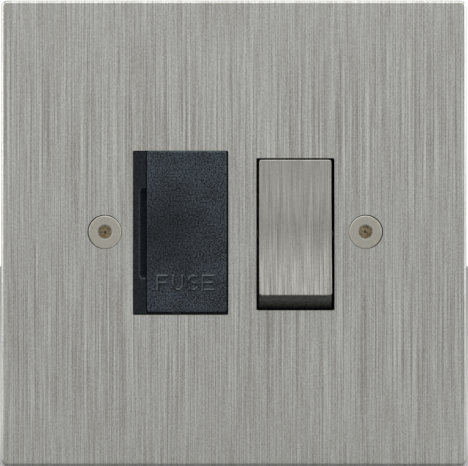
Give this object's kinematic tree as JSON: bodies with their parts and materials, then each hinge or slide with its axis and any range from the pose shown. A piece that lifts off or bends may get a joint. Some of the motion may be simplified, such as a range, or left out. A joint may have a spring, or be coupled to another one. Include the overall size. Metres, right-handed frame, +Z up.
{
  "type": "fused spur unit",
  "caption": "Switched fused connection unit: flat square steel plate, black pull-out fuse carrier at left, steel-capped rocker switch at right, terminals behind.",
  "frame": {"origin": "centre of the plate's back face, on the wall's surface", "axes": "+X to the right as seen from the room, +Y into the wall, +Z up"},
  "size_m": [0.086, 0.0307, 0.086],
  "materials": {
    "brushed_stainless": "vertical brushed satin",
    "nickel_screw": "nickel plated",
    "zinc_steel": "zinc plated",
    "black_moulding": "satin moulding",
    "textured_black_moulding": "fine spark-eroded texture",
    "white_moulding": "smooth",
    "ceramic_tube": "unglazed ceramic",
    "plated_cap": "nickel plated brass",
    "brass": "plain brass"
  },
  "bodies": {
    "base": {"front_plate": "brushed_stainless", "plate_screw_left": "nickel_screw", "plate_screw_right": "nickel_screw", "mounting_frame": "zinc_steel", "frame_bush_left": "zinc_steel", "frame_bush_right": "zinc_steel", "front_housing": "black_moulding", "rear_housing": "black_moulding", "fuse_clip_upper": "brass", "fuse_clip_lower": "brass", "line_link": "brass", "pivot_bracket_line": "brass", "pivot_bracket_neutral": "brass", "fixed_contact_line": "brass", "fixed_contact_neutral": "brass", "terminal_supply_earth": "brass", "terminal_supply_line": "brass", "terminal_supply_neutral": "brass", "terminal_load_line": "brass", "terminal_load_earth": "brass", "terminal_load_neutral": "brass", "clamp_screw_supply_earth": "brass", "clamp_screw_supply_line": "brass", "clamp_screw_supply_neutral": "brass", "clamp_screw_load_line": "brass", "clamp_screw_load_earth": "brass", "clamp_screw_load_neutral": "brass", "earth_strap_supply": "brass", "earth_strap_load": "brass", "housing_screw_top_left": "zinc_steel", "housing_screw_top_right": "zinc_steel", "housing_screw_bottom_left": "zinc_steel", "housing_screw_bottom_right": "zinc_steel"},
    "rocker_assembly": {"rocker": "black_moulding", "rocker_cap": "brushed_stainless", "plunger_line": "white_moulding", "plunger_neutral": "white_moulding", "plunger_spring_line": "zinc_steel", "plunger_spring_neutral": "zinc_steel"},
    "fuse_drawer": {"fuse_carrier": "textured_black_moulding", "fuse_barrel": "ceramic_tube", "fuse_cap_upper": "plated_cap", "fuse_cap_lower": "plated_cap"},
    "contact_line": {"moving_contact_line": "brass"},
    "contact_neutral": {"moving_contact_neutral": "brass"}
  },
  "joints": [
    {"name": "rocker_tilt", "type": "hinge", "parent": "base", "child": "rocker_assembly", "pos_m": [0.01136, 0.00523, -0.0002], "axis": [1, 0, 0], "range_deg": [0, 16]},
    {"name": "contact_line_tilt", "type": "hinge", "parent": "base", "child": "contact_line", "pos_m": [0.00776, 0.0154, -0.0002], "axis": [1, 0, 0], "range_deg": [-23.2, 0]},
    {"name": "contact_neutral_tilt", "type": "hinge", "parent": "base", "child": "contact_neutral", "pos_m": [0.01496, 0.0154, -0.0002], "axis": [1, 0, 0], "range_deg": [-23.2, 0]},
    {"name": "fuse_drawer_slide", "type": "slide", "parent": "base", "child": "fuse_drawer", "axis": [0, -1, 0], "range_m": [0, 0.019]}
  ],
  "couplings": [
    {"joint": "contact_line_tilt", "follows": "rocker_tilt", "ratio": -1.44},
    {"joint": "contact_neutral_tilt", "follows": "rocker_tilt", "ratio": -1.44}
  ]
}
